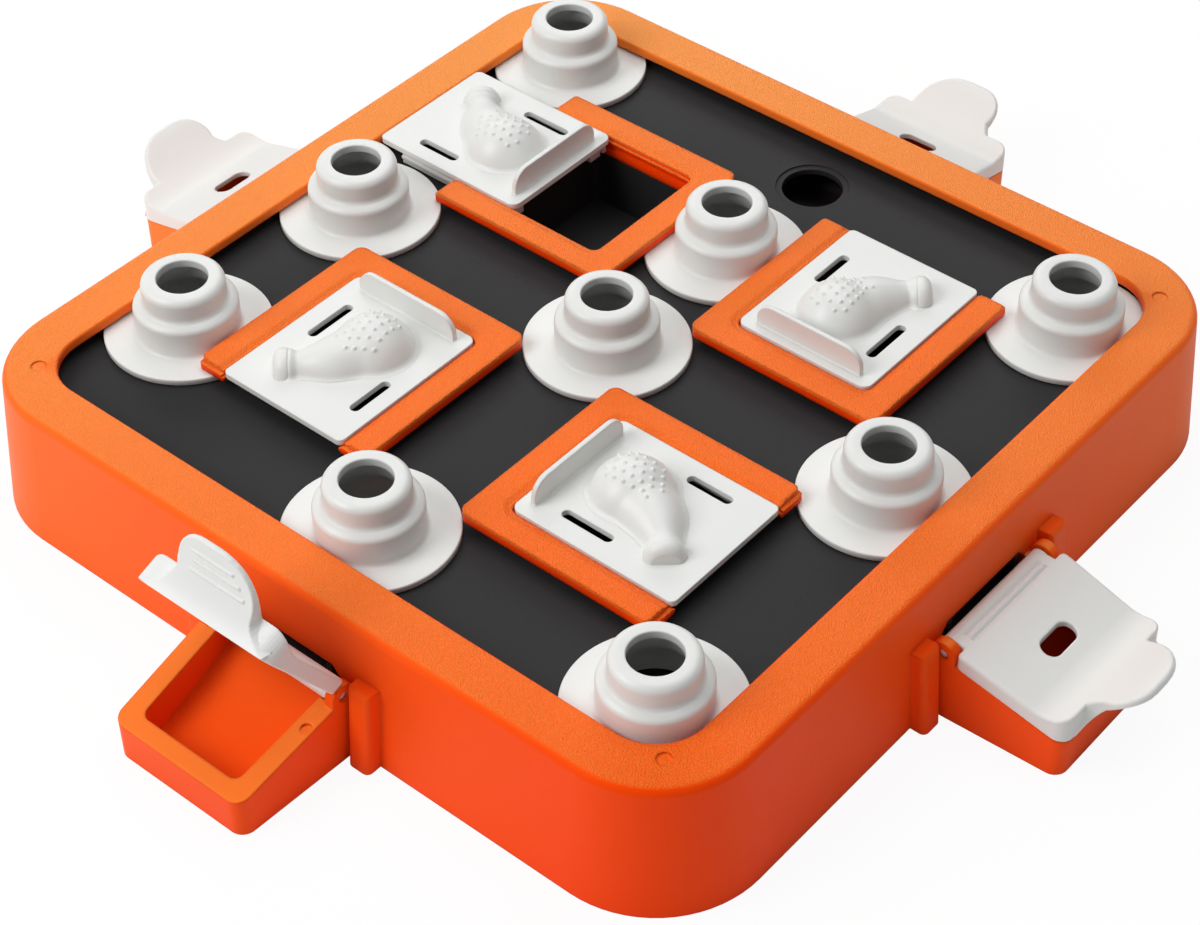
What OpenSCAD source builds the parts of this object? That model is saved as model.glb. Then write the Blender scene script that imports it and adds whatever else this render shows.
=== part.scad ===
// Dog puzzle feeder: a square tub with sliding cups, sliding lids and four side trays with flaps.
// Origin at the centre of the base, +Z up, each side of the tub faces a horizontal axis.

/* [Playing field] */
// Clear width of a street between two covers
street_w = 35.6; // [33:0.2:40]
// Width of the square cover frame around a well
cover_w = 70; // [66:0.5:80]
// Depth of the street floor below the rim
street_drop = 6.8; // [6.4:0.1:9]
// How far a cup disc reaches under a cover
disc_lap = 8.6; // [7:0.1:8.8]

/* [Housing] */
// Height of the housing
housing_h = 48; // [46:0.5:60]
// Width of the rim around the playing field
rim_w = 16.6; // [15.8:0.2:20]
// Outer corner radius of the housing at its top
corner_r = 33; // [28:1:40]
// How far each wall stands out at its foot
wall_flare = 4; // [2:0.5:5]
// Thickness of the housing wall
wall_t = 3; // [2.6:0.1:3.2]
// Thickness of the rim's inner lip
lip_t = 3.2; // [2.6:0.1:3.4]
// Radius of the rounded outer top edge
rim_edge_r = 2.9; // [1.5:0.1:4]
// Width of a guard pillar beside a tray
pillar_w = 8.2; // [6:0.1:9]
// How far a guard pillar stands out of the wall
pillar_d = 5.2; // [4:0.1:7]
// Height of a guard pillar
pillar_h = 30.2; // [28:0.1:36]

/* [Deck] */
// Thickness of the deck plate
deck_t = 2.5; // [2:0.1:3]
// Diameter of a feed hole in the street floor
feed_d = 20.3; // [18:0.1:22]
// Diameter of the shallow ring around a feed hole
feed_ring_d = 24.5; // [24:0.1:28]
// Depth of the shallow ring around a feed hole
feed_ring_h = 0.5; // [0.3:0.1:1]
// Depth of a well below the street floor
well_h = 22; // [16:0.5:26]
// Thickness of the well walls
well_t = 2; // [1.6:0.1:2.4]
// Outer diameter of a screw boss
boss_d = 8.4; // [7:0.1:10]

/* [Cup] */
// Outer diameter of the upper tier
cup_top_d = 26.2; // [24.8:0.2:28]
// Diameter of the treat hole
cup_hole_d = 16; // [14:0.5:18]
// Height of a cup above the street floor
cup_h = 20.8; // [19:0.1:24]
// Height of the lower tier above the street floor
cup_step_h = 13.1; // [11:0.1:14]
// Thickness of the cup disc
disc_t = 2.3; // [1.8:0.1:2.4]
// Wall thickness of a cup
cup_t = 2.4; // [1.8:0.1:2.8]
// Thickness of the lip around the treat hole
cup_lip_t = 3; // [2:0.1:4]

/* [Sliding lid] */
// How far a closed lid reaches past its cover
lid_reach = 1; // [0.6:0.1:1.4]
// Width of a lid
lid_w = 49.4; // [48.6:0.1:50]
// Thickness of a lid plate
lid_t = 2; // [1.6:0.1:2.4]
// Height of the push tab above the lid
tab_h = 8.3; // [6:0.1:10]
// Width of the push tab
tab_w = 39.4; // [34:0.2:42]
// Thickness of the push tab
tab_t = 1.6; // [1.2:0.1:2.4]
// Radius of the knob's thick end
knob_r = 13.4; // [12:0.1:14]
// Wall thickness of the hollow knob
knob_t = 2; // [1.6:0.1:2.4]

/* [Tray and flap] */
// Distance of a tray's outer wall from the centre line of the housing wall's top
tray_reach = 47.5; // [42:0.5:54]
// Half width of a tray at the housing
tray_half_in = 27.4; // [26.8:0.1:27.8]
// Half width of a tray at its outer wall
tray_half_out = 25.6; // [24.5:0.1:26.5]
// Height of a tray at its outer wall
tray_h = 13.4; // [11:0.1:16]
// Slope of the tray rim and of the closed flap
rim_angle = 14.4; // [12:0.2:15]
// Width of the tray rim
tray_rim = 5.6; // [5:0.1:6.5]
// Thickness of a flap
flap_t = 2.2; // [1.8:0.1:2.6]
// Depth of the flap's skirt
skirt_h = 5.4; // [4.4:0.1:6]
// Radius of the hinge barrel
barrel_r = 3.3; // [2.8:0.1:3.4]
// Diameter of the hinge pins
hinge_pin_d = 3.2; // [2.6:0.1:3.6]
// Length of the finger tongue from its root to its tip
tongue_l = 21.5; // [19:0.5:23]
// Slope of the finger tongue from its root to its tip
tongue_angle = 44.8; // [42:0.2:47]
// Half the angle by which the tongue flattens towards its tip
tongue_turn = 28; // [22:1:29]
// Opening angle of the flap that is drawn open
flap_open = 69.2; // [0:0.2:105]

/* [Base] */
// Thickness of the base plate
base_t = 2.5; // [2.2:0.1:3.5]
// Diameter of a rubber foot
foot_d = 16; // [12:0.5:20]
// Thickness of a rubber foot
foot_t = 1.2; // [0.8:0.1:1.6]
// Diameter of a screw head
head_d = 6; // [5:0.1:6.6]
// Diameter of a screw shank
shank_d = 2.6; // [2.2:0.1:3]

/* [Clearances] */
// Gap below and above what slides on the deck
slide_gap = 0.2; // [0.15:0.05:0.3]
// Gap around a lid
lid_gap = 0.5; // [0.3:0.05:0.7]
// Radial gap of a hinge pin in its ear
pin_gap = 0.08; // [0.04:0.01:0.1]
// Gap beside moving hinge parts
hinge_gap = 0.4; // [0.3:0.05:0.6]
// Gap between fixed pieces that fit into each other
fit_gap = 0.1; // [0.05:0.05:0.2]

/* [Hidden] */
$fn = 64;
eps = 0.01;
orange = "#ff6414";
white = "#f2f2ee";
dark = "#3a3a3c";
rubber = "#26262a";
steel = "#b8b8bc";

// Field layout: street, cover, street from the centre line outwards
cell_at = (street_w + cover_w) / 2;
ring_at = street_w + cover_w;
field_half = 1.5 * street_w + cover_w;
half = field_half + rim_w;
corner_at = half - corner_r;
side_turn = [-90, 0, 180, 90];
cell_turn = [180, -90, 90, 0];

// Heights of the field
deck_z = housing_h - street_drop;
deck_low = deck_z - deck_t;
disc_z = deck_z + slide_gap;
lap_gap = 0.6;
flange_t = street_drop - slide_gap - disc_t - lap_gap;
flange_z = housing_h - flange_t;

// Cup
disc_r = street_w / 2 + disc_lap;
cup_side_gap = 1.4;
cup_r = street_w / 2 - cup_side_gap;

// Distance of the drafted wall's outer face from the corner axis at height z
function draft(z) = corner_r + wall_flare * (1 - z / housing_h);
function wall_x(z) = corner_at + draft(z);
function arc(cx, cy, r, a0, a1, n) = [
  for (i = [0:n])
  let (a = a0 + (a1 - a0) * i / n)
  [cx + r * cos(a), cy + r * sin(a)]
];

// Square with round corners, given by its half width
module round_square(h, r) {
  square([2 * h, 2 * (h - r)], center = true);
  square([2 * (h - r), 2 * h], center = true);
  for (x = [-1, 1], y = [-1, 1]) {
    translate([x * (h - r), y * (h - r)])
      circle(r);
  }
}

// Rectangle from x0 to x1 and -hy to hy, with its own radius at each end
module round_rect(x0, x1, hy, r0, r1) {
  polygon(concat(
    arc(x0 + r0, -hy + r0, r0, 180, 270, 8),
    arc(x1 - r1, -hy + r1, r1, 270, 360, 8),
    arc(x1 - r1, hy - r1, r1, 0, 90, 8),
    arc(x0 + r0, hy - r0, r0, 90, 180, 8)
  ));
}

// Stands a drawing of (distance, height) up and runs it along Y
module along_y(half_l) {
  rotate([90, 0, 0])
    linear_extrude(2 * half_l, center = true)
      children();
}

// Housing
lip_edge_r = 0.8;
step_z = base_t + fit_gap;
step_w = 1.2;
shoulder_gap = 0.9;
shoulder_r = ring_at + disc_r + shoulder_gap - corner_at;
window_half = tray_half_in - 6.4;
window_top = 28;
window_low = 12.5;
window_cut = 3;
pillar_gap = 0.9;
pillar_edge_r = 2;
pillar_top_r = 2.5;
pillar_root = 1;
draft_angle = atan(wall_flare / housing_h);
dimple_r = 2.4;
dimple_h = 0.5;
dimple_in = 17.5;
dimple_at = half - dimple_in;

module wall_profile() {
  top_x = draft(housing_h - rim_edge_r);
  polygon(concat(
    [[draft(0), 0]],
    arc(top_x - rim_edge_r, housing_h - rim_edge_r, rim_edge_r, 0, 90, 8),
    arc(corner_r - rim_w + lip_edge_r, housing_h - lip_edge_r, lip_edge_r, 90, 180, 4),
    [
      [corner_r - rim_w, housing_h - lip_t],
      [shoulder_r, housing_h - lip_t],
      [shoulder_r, deck_z],
      [draft(deck_z) - wall_t, deck_z],
      [draft(step_z) - wall_t, step_z],
      [draft(0) - wall_t + step_w, step_z],
      [draft(0) - wall_t + step_w, 0]
    ]
  ));
}

module shell() {
  for (a = [0:90:270]) {
    rotate(a) {
      translate([corner_at, 0, 0])
        along_y(corner_at)
          wall_profile();
      translate([corner_at, corner_at, 0])
        rotate_extrude(angle = 90)
          wall_profile();
    }
  }
}

module window() {
  inside = half - wall_t - wall_flare;
  translate([inside, 0, 0])
    rotate([90, 0, 90])
      linear_extrude(wall_x(0) - inside + 1)
        polygon([
          [-window_half, window_low],
          [window_half, window_low],
          [window_half, window_top - window_cut],
          [window_half - window_cut, window_top],
          [-window_half + window_cut, window_top],
          [-window_half, window_top - window_cut]
        ]);
}

// Guard pillar that leans back with the wall, with round outer edges
module pillar() {
  foot_x = wall_x(0) + pillar_d;
  top_x = wall_x(pillar_h) + pillar_d;
  near = tray_half_in + pillar_gap;
  intersection() {
    along_y(near + 2 * pillar_w)
      polygon(concat(
        [[wall_x(0) - pillar_root, 0], [foot_x, 0]],
        arc(top_x - pillar_top_r, pillar_h - pillar_top_r, pillar_top_r, 0, 90, 6),
        [[wall_x(pillar_h) - pillar_root, pillar_h]]
      ));
    translate([foot_x, near, 0])
      rotate([0, -draft_angle, 0])
        linear_extrude(2 * pillar_h, center = true)
          polygon(concat(
            [[-2 * pillar_d, 0]],
            arc(-pillar_edge_r, pillar_edge_r, pillar_edge_r, -90, 0, 6),
            arc(-pillar_edge_r, pillar_w - pillar_edge_r, pillar_edge_r, 0, 90, 6),
            [[-2 * pillar_d, pillar_w]]
          ));
  }
}

module housing() {
  color(orange)
    difference() {
      union() {
        shell();
        for (a = [0:90:270]) {
          rotate(a) {
            pillar();
            mirror([0, 1, 0])
              pillar();
          }
        }
      }
      for (a = [0:90:270]) {
        rotate(a) {
          window();
          translate([dimple_at, dimple_at, housing_h - dimple_h])
            cylinder(r = dimple_r, h = dimple_h + 1);
        }
      }
    }
}

// Covers around the wells, drawn for the cell at +X -Y whose open end faces +X
collar_t = 1.8;
collar_drop = 1.2;
cover_in = street_w / 2;
cover_out = cover_in + cover_w;
arm_tip = 1.5;
arm_tip_z = housing_h - 1.6;
cover_corner_r = 3;
lid_side = lid_w / 2 + lid_gap;
cover_side = 11;
lid_end = cover_in + cover_side;
lid_l = cover_w - cover_side + lid_reach;
lid_stop_gap = 0.3;
lid_travel = street_w - lid_reach - lid_stop_gap;
ledge_drop = 0.8;
ledge_w = 1.3;
bevel_w = 1.2;
rail_out = lid_w / 2 - 0.8;
rail_gap = 0.3;
rail_side = rail_out + rail_gap;
collar_side = rail_side + collar_t;
collar_end = lid_end - lid_gap - collar_t;
collar_tip = ring_at - disc_r - hinge_gap;
ridge_w = 0.6;
ridge_z = disc_z + 2;
ridge_h = 1;
ridge_gap = 0.4;
well_corner_r = 3;
well_rim = 5;
foot_near = 3;
foot_w = 5;
foot_side = 0.3;
foot_far = 6.4;
foot_drop = 1;
foot_gap = 0.1;
well_out = lid_end + foot_far + lid_travel + foot_gap;

// Cover outline seen from above, with an open end towards +X
module cover_plan(tip) {
  round_rect(cover_in, cover_out + tip, cover_w / 2, cover_corner_r, cover_corner_r / 2);
}

// Cut that leaves the three sides of the cover standing
module cover_cut(x0, side, z0, z1, r) {
  translate([0, 0, z0])
    linear_extrude(z1 - z0)
      round_rect(x0, cover_out + 3 * arm_tip, side, r, eps);
}

module cover() {
  top = housing_h;
  ledge_x = lid_end - lid_gap;
  difference() {
    union() {
      translate([0, 0, arm_tip_z])
        linear_extrude(top - arm_tip_z)
          cover_plan(0);
      translate([0, 0, flange_z])
        linear_extrude(arm_tip_z - flange_z)
          cover_plan(arm_tip);
      translate([0, 0, deck_z - collar_drop])
        linear_extrude(flange_z - deck_z + collar_drop + eps)
          round_rect(collar_end, collar_tip, collar_side, well_corner_r, eps);
    }
    // lid recess with a bevelled edge
    cover_cut(ledge_x, lid_side, top - lid_t - slide_gap, top + 1, well_corner_r);
    cover_cut(ledge_x - ledge_w, lid_side + ledge_w, top - ledge_drop, top + 1, well_corner_r + ledge_w);
    hull() {
      cover_cut(ledge_x - ledge_w, lid_side + ledge_w, top - ledge_drop, top - ledge_drop + eps, well_corner_r + ledge_w);
      cover_cut(ledge_x - ledge_w - bevel_w, lid_side + ledge_w + bevel_w, top, top + eps, well_corner_r + ledge_w + bevel_w);
    }
    // way through to the well and the rail grooves
    cover_cut(ledge_x, rail_side, deck_z - collar_drop - 1, top, well_corner_r);
    translate([lid_end, -rail_side - ridge_w, ridge_z - ridge_gap])
      cube([cover_w, 2 * (rail_side + ridge_w), ridge_h + 2 * ridge_gap]);
  }
}

module in_cell(i) {
  rotate(cell_turn[i - 1])
    translate([0, -cell_at, 0])
      children();
}

module frame(i) {
  color(orange)
    in_cell(i)
      cover();
}

// Deck
deck_gap = 0.4;
deck_half = wall_x(deck_z) - wall_t - deck_gap;
deck_corner_r = deck_half - corner_at;
pilot_d = shank_d + fit_gap;
pilot_l = 15;
boss_side = 62;
boss_far = corner_at - 11;
boss_at = [
  for (a = side_turn, p = [[boss_side, 0], [boss_far, boss_far]])
  [p[0] * cos(a) - p[1] * sin(a), p[0] * sin(a) + p[1] * cos(a)]
];

module well_plan(t) {
  round_rect(lid_end - t, well_out + t, rail_side + t, well_corner_r + t, well_corner_r + t);
}

// Rim that carries a well in the deck
module rim_plan() {
  r = well_corner_r + well_rim;
  round_rect(lid_end - well_rim, collar_tip + well_rim, rail_side + well_rim, r, r);
}

// Seat of a cover's collar in the rim
module collar_seat() {
  translate([0, 0, deck_z - collar_drop])
    linear_extrude(collar_drop + 1)
      difference() {
        round_rect(collar_end - fit_gap, collar_tip + fit_gap, collar_side + fit_gap, well_corner_r, eps);
        translate([well_out, -rail_side])
          square([cover_w, 2 * rail_side]);
      }
}

module deck() {
  color(dark)
    difference() {
      translate([0, 0, deck_low])
        linear_extrude(deck_t)
          round_square(deck_half, deck_corner_r);
      for (i = [1:4]) {
        in_cell(i)
          translate([0, 0, deck_low - 1])
            linear_extrude(deck_t + 2)
              rim_plan();
      }
      for (a = side_turn) {
        rotate(a)
          translate([ring_at, 0, 0]) {
            translate([0, 0, deck_low - 1])
              cylinder(d = feed_d, h = deck_t + 2);
            translate([0, 0, deck_z - feed_ring_h])
              cylinder(d = feed_ring_d, h = feed_ring_h + 1);
          }
      }
    }
}

// Tub of a well with its rim
module well(i) {
  color(dark)
    in_cell(i)
      difference() {
        union() {
          translate([0, 0, deck_z - well_h - well_t])
            linear_extrude(well_h + well_t - deck_t + eps)
              well_plan(well_t);
          translate([0, 0, deck_low])
            linear_extrude(deck_t)
              rim_plan();
        }
        translate([0, 0, deck_z - well_h])
          linear_extrude(well_h + 1)
            well_plan(0);
        collar_seat();
      }
}

module deck_posts() {
  color(dark)
    for (p = boss_at) {
      translate([p[0], p[1], base_t])
        difference() {
          cylinder(d = boss_d, h = deck_low - base_t);
          translate([0, 0, -1])
            cylinder(d = pilot_d, h = pilot_l);
        }
    }
}

// Base
base_half = wall_x(0) - wall_t + step_w - fit_gap;
base_corner_r = base_half - corner_at;
foot_at = half - 24;
head_h = 1.4;
shank_l = 12;
drive_l = 3.6;
drive_w = 0.9;

module base_plate() {
  color(dark)
    difference() {
      linear_extrude(base_t)
        round_square(base_half, base_corner_r);
      for (x = [-foot_at, foot_at], y = [-foot_at, foot_at]) {
        translate([x, y, -1])
          cylinder(d = foot_d + 2 * fit_gap, h = foot_t + 1);
      }
      for (p = boss_at) {
        translate([p[0], p[1], -1]) {
          cylinder(d = head_d + 4 * fit_gap, h = head_h + fit_gap + 1);
          cylinder(d = shank_d + 4 * fit_gap, h = base_t + 2);
        }
      }
    }
}

module rubber_feet() {
  color(rubber)
    for (x = [-foot_at, foot_at], y = [-foot_at, foot_at]) {
      translate([x, y, 0])
        cylinder(d = foot_d, h = foot_t);
    }
}

module base_screws() {
  color(steel)
    for (p = boss_at) {
      translate([p[0], p[1], fit_gap])
        difference() {
          union() {
            cylinder(d = head_d, h = head_h);
            cylinder(d = shank_d, h = base_t + shank_l);
          }
          translate([0, 0, head_h / 4])
            cube([drive_l, drive_w, head_h], center = true);
          translate([0, 0, head_h / 4])
            cube([drive_w, drive_l, head_h], center = true);
        }
    }
}

// Chute from a feed hole through the window to the tray
chute_half = 18;
chute_t = 2;
chute_margin = 4;
window_gap = 0.6;
chute_in = ring_at - feed_d / 2 - chute_margin;
chute_high = 33.5;
chute_low = 17;
chute_out = wall_x(chute_low) - window_gap;
chute_neck = wall_x(deck_z) - wall_t - 3;
chute_neck_z = window_top - window_gap;

function chute_z(x) = chute_high + (chute_low - chute_high) * (x - chute_in) / (chute_out - chute_in);

module chute_side(x0) {
  polygon([
    [x0, base_t],
    [chute_neck, base_t],
    [chute_neck, chute_z(chute_neck) - chute_t],
    [chute_out, chute_low - chute_t],
    [chute_out, chute_neck_z],
    [chute_neck, chute_neck_z],
    [chute_neck, deck_low - fit_gap],
    [x0, deck_low - fit_gap]
  ]);
}

module chute() {
  difference() {
    along_y(chute_half)
      chute_side(chute_in - chute_t);
    along_y(chute_half - chute_t)
      polygon([
        [chute_in, chute_z(chute_in)],
        [chute_out + 1, chute_z(chute_out + 1)],
        [chute_out + 1, deck_z],
        [chute_in, deck_z]
      ]);
    along_y(chute_half - chute_t)
      polygon([
        [chute_in, base_t - 1],
        [chute_neck - chute_t, base_t - 1],
        [chute_neck - chute_t, chute_z(chute_neck) - chute_t],
        [chute_in, chute_z(chute_in) - chute_t]
      ]);
  }
}

// Tray on the +X side
hinge_x = half + 6.5;
hinge_z = 25;
tray_out = half + tray_reach;
tray_wall_gap = 0.1;
tray_corner_r = 4.5;
cavity_r = 3;
floor_t = 3;
floor_rise = 12.8;
floor_bend = 1.5;
ear_r = 4.2;
ear_t = 3.4;
barrel_half = 23.2;
ear_in = barrel_half + hinge_gap;
detent_r = 1.8;
detent_h = 0.5;
detent_x = 19.2;
detent_in = 0.3;
floor_n = 14;
cavity_lap = 2;
cavity_draft = 0.8;
pocket_wall = 4;
pocket_end = 12;
pocket_side = 3;
floor_skin = 2.6;

function rim_z(x) = tray_h + (tray_out - x) * tan(rim_angle);
function floor_z(x) = floor_t
  + floor_rise * pow(max(0, (tray_out - tray_rim - x) / (tray_out - tray_rim - wall_x(chute_low))), floor_bend);

ear_low = rim_z(hinge_x) - 5;
ear_back = wall_x(ear_low) + tray_wall_gap;

// Outline of the tray from above
module tray_plan(x0, half_in, half_out, x1, r) {
  polygon(concat(
    [[x0, -half_in]],
    arc(x1 - r, -half_out + r, r, -90, 0, 8),
    arc(x1 - r, half_out - r, r, 0, 90, 8),
    [[x0, half_in]]
  ));
}

module tray_ear() {
  translate([hinge_x, ear_in, hinge_z])
    rotate([-90, 0, 0])
      cylinder(r = ear_r, h = ear_t);
  translate([ear_back, ear_in, ear_low])
    cube([hinge_x + ear_r - ear_back, ear_t, hinge_z - ear_low]);
}

module tray_block() {
  intersection() {
    linear_extrude(housing_h)
      tray_plan(half - 5, tray_half_in, tray_half_out, tray_out, tray_corner_r);
    along_y(tray_half_in + 1)
      polygon([
        [wall_x(0) + tray_wall_gap, 0],
        [tray_out, 0],
        [tray_out, tray_h],
        [wall_x(hinge_z) + tray_wall_gap, rim_z(wall_x(hinge_z) + tray_wall_gap)]
      ]);
  }
}

module tray_cavity() {
  cavity_out = tray_out - tray_rim;
  cavity_in = wall_x(chute_low) - cavity_lap;
  side = tray_rim + cavity_draft;
  intersection() {
    linear_extrude(housing_h)
      tray_plan(cavity_in - 1, tray_half_in - side, tray_half_out - side, cavity_out, cavity_r);
    along_y(tray_half_in)
      polygon(concat(
        [
          for (i = [0:floor_n])
          let (x = cavity_in + (cavity_out - cavity_in) * i / floor_n)
          [x, floor_z(x)]
        ],
        [[cavity_out, housing_h], [cavity_in, housing_h]]
      ));
  }
}

module tray_underside() {
  pocket_in = wall_x(0) + pocket_wall;
  pocket_out = tray_out - tray_rim - pocket_end;
  along_y(tray_half_out - pocket_side)
    polygon(concat(
      [
        for (i = [0:floor_n])
        let (x = pocket_in + (pocket_out - pocket_in) * i / floor_n)
        [x, floor_z(x) - floor_skin]
      ],
      [[pocket_out, -1], [pocket_in, -1]]
    ));
}

module tray() {
  color(orange)
    difference() {
      union() {
        difference() {
          tray_block();
          tray_cavity();
          tray_underside();
          translate([half + detent_x, tray_half_in - tray_rim / 2 - detent_in, rim_z(half + detent_x) - detent_h])
            cylinder(r = detent_r, h = 2 * detent_h + 1);
          translate([hinge_x, 0, hinge_z])
            rotate([90, 0, 0])
              cylinder(r = barrel_r + hinge_gap, h = 2 * ear_in, center = true);
        }
        tray_ear();
        mirror([0, 1, 0])
          tray_ear();
      }
      // bore through both ears
      translate([hinge_x, 0, hinge_z])
        rotate([90, 0, 0])
          cylinder(r = hinge_pin_d / 2 + pin_gap, h = 2 * (ear_in + ear_t + 1), center = true);
    }
}

// Flap, drawn closed on the +X side with its hinge axis at the origin
wing_in = 4.6;
wing_half = tray_half_in - 0.2;
wing_r = 1.5;
flap_half_out = tray_half_out + 0.2;
flap_over = 0.15;
flap_out = tray_out - hinge_x + flap_over;
flap_corner_r = 5;
seat_gap = 0.15;
skirt_t = 2;
bend_r = 12;
groove_at = [2.1, 4.4];
groove_half = 19.6;
groove_w = 0.8;
groove_h = 0.3;
oval_at = 21.5;
oval_w = 6.6;
oval_l = 14.1;
tongue_left = -13.8;
tongue_right = 16.3;
tip_left_r = 9.2;
tip_right_r = 15.2;
tip_tilt = 20;
root_left = -21;
root_right = 24.6;
root_back = 6;
root_in = 5;
grip_at = [135, 127.5, 120];
grip_end = [12, 9.8, 7.2];
grip_start = -8;
grip_r = 0.6;
root_low = 0.5;

function skirt_z(r) = rim_z(hinge_x + r) + seat_gap - hinge_z;
function top_z(r) = skirt_z(r) + skirt_h;
flat_at = wing_in - 1;
function groove_z(r) = r > flat_at ? top_z(r) : barrel_r + (top_z(flat_at) - barrel_r) * r / flat_at;

function along(p, angle, d) = [p[0] + d * cos(angle), p[1] + d * sin(angle)];
function curve(p, q, r, n) = [
  for (i = [0:n])
  let (t = i / n)
  (1 - t) * (1 - t) * p + 2 * t * (1 - t) * q + t * t * r
];

// The tongue is an arc that starts at the foot of the skirt, and a concave arc leads into it
back = [flap_out, skirt_z(flap_out)];
tongue_r = tongue_l / 2 / sin(tongue_turn);
tongue_c = along(back, tongue_angle + tongue_turn - 90, tongue_r);
root_h = (tongue_c[0] * sin(rim_angle) + (tongue_c[1] - top_z(0)) * cos(rim_angle));
bend_run = sqrt(pow(tongue_r + flap_t + bend_r, 2) - pow(bend_r - root_h, 2));
bend_c = along(along(tongue_c, -rim_angle, -bend_run), 90 - rim_angle, bend_r - root_h);
bend_end = atan2(tongue_c[1] - bend_c[1], tongue_c[0] - bend_c[0]);

module flap_section() {
  polygon(concat(
    [[0, -root_low], [0, barrel_r], [flat_at, top_z(flat_at)]],
    arc(bend_c[0], bend_c[1], bend_r, -90 - rim_angle, bend_end, 8),
    arc(tongue_c[0], tongue_c[1], tongue_r + flap_t, bend_end + 180, tongue_angle - tongue_turn + 90, 10),
    arc(tongue_c[0], tongue_c[1], tongue_r, tongue_angle - tongue_turn + 90, tongue_angle + tongue_turn + 90, 14),
    [
      [flap_out - skirt_t, skirt_z(flap_out - skirt_t)],
      [wing_in, skirt_z(wing_in)],
      [wing_in, -root_low]
    ]
  ));
}

module flap_plan() {
  polygon(concat(
    [[-barrel_r, -barrel_half], [wing_in, -barrel_half]],
    arc(wing_in + wing_r, -wing_half + wing_r, wing_r, 180, 270, 4),
    arc(flap_out - flap_corner_r, -flap_half_out + flap_corner_r, flap_corner_r, 270, 360, 8),
    arc(flap_out - flap_corner_r, flap_half_out - flap_corner_r, flap_corner_r, 0, 90, 8),
    arc(wing_in + wing_r, wing_half - wing_r, wing_r, 90, 180, 4),
    [[wing_in, barrel_half], [-barrel_r, barrel_half]]
  ));
}

// Outline of the tongue in (distance from its root, side), seen square to its tip
module tongue_plan() {
  l = tongue_l * cos(tip_tilt);
  left = [l - tip_left_r, tongue_left + tip_left_r];
  right = [l - tip_right_r, tongue_right - tip_right_r];
  left_start = along(left, -90 - tip_tilt, tip_left_r);
  polygon(concat(
    [[-root_back, root_left + root_in]],
    curve([0, root_left], along(left_start, tip_tilt, -root_in), left_start, 6),
    arc(left[0], left[1], tip_left_r, -90 - tip_tilt, 0, 10),
    arc(right[0], right[1], tip_right_r, 0, 90, 12),
    curve([right[0], tongue_right], [right[0] / 2, tongue_right], [0, root_right], 6),
    [[-root_back, root_right - root_in]]
  ));
}

module flap_hollow() {
  in_out = flap_out - skirt_t;
  intersection() {
    linear_extrude(2 * housing_h, center = true)
      round_rect(wing_in + skirt_t, in_out, flap_half_out - skirt_t, wing_r, flap_corner_r - skirt_t);
    along_y(wing_half)
      polygon([
        [wing_in, -housing_h],
        [in_out, -housing_h],
        [in_out, top_z(in_out) - flap_t],
        [wing_in, top_z(wing_in) - flap_t]
      ]);
  }
}

module flap_body() {
  difference() {
    intersection() {
      along_y(wing_half + 1)
        flap_section();
      union() {
        linear_extrude(2 * housing_h, center = true)
          flap_plan();
        translate([back[0], 0, back[1]])
          rotate([0, tip_tilt - tongue_angle, 0])
            translate([0, 0, -1])
              linear_extrude(housing_h)
                tongue_plan();
      }
    }
    flap_hollow();
    for (g = groove_at) {
      translate([g, 0, groove_z(g)])
        cube([groove_w, 2 * groove_half, 2 * groove_h], center = true);
    }
    translate([oval_at, 0, 0])
      for (k = [-1, 1]) {
        translate([0, k * (oval_l - oval_w) / 2, 0])
          cylinder(d = oval_w, h = housing_h, center = true);
      }
    translate([oval_at, 0, 0])
      cube([oval_w, oval_l - oval_w, housing_h], center = true);
  }
  // barrel and pins
  rotate([90, 0, 0]) {
    cylinder(r = barrel_r, h = 2 * barrel_half, center = true);
    cylinder(d = hinge_pin_d, h = 2 * (ear_in + ear_t), center = true);
  }
  // grip ribs under the tongue
  for (i = [0:2]) {
    at = along(tongue_c, grip_at[i], tongue_r);
    translate([at[0], 0, at[1]]) {
      translate([0, grip_start, 0])
        rotate([-90, 0, 0])
          cylinder(r = grip_r, h = grip_end[i] - grip_start);
      for (y = [grip_start, grip_end[i]]) {
        translate([0, y, 0])
          sphere(grip_r);
      }
    }
  }
}

module flap(angle) {
  color(white)
    translate([hinge_x, 0, hinge_z])
      rotate([0, -angle, 0])
        flap_body();
}

// Cup, a stepped revolve that is open below
disc_edge = 0.4;
foot_r = 0.8;
step_r = 1;
step_turn = 60;
shoulder_w = 0.5;
shoulder_z = [1.3, 1.9];
cup_top_r = 2;
hole_edge_r = 0.8;
inner_z = [-0.5, -2];

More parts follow.
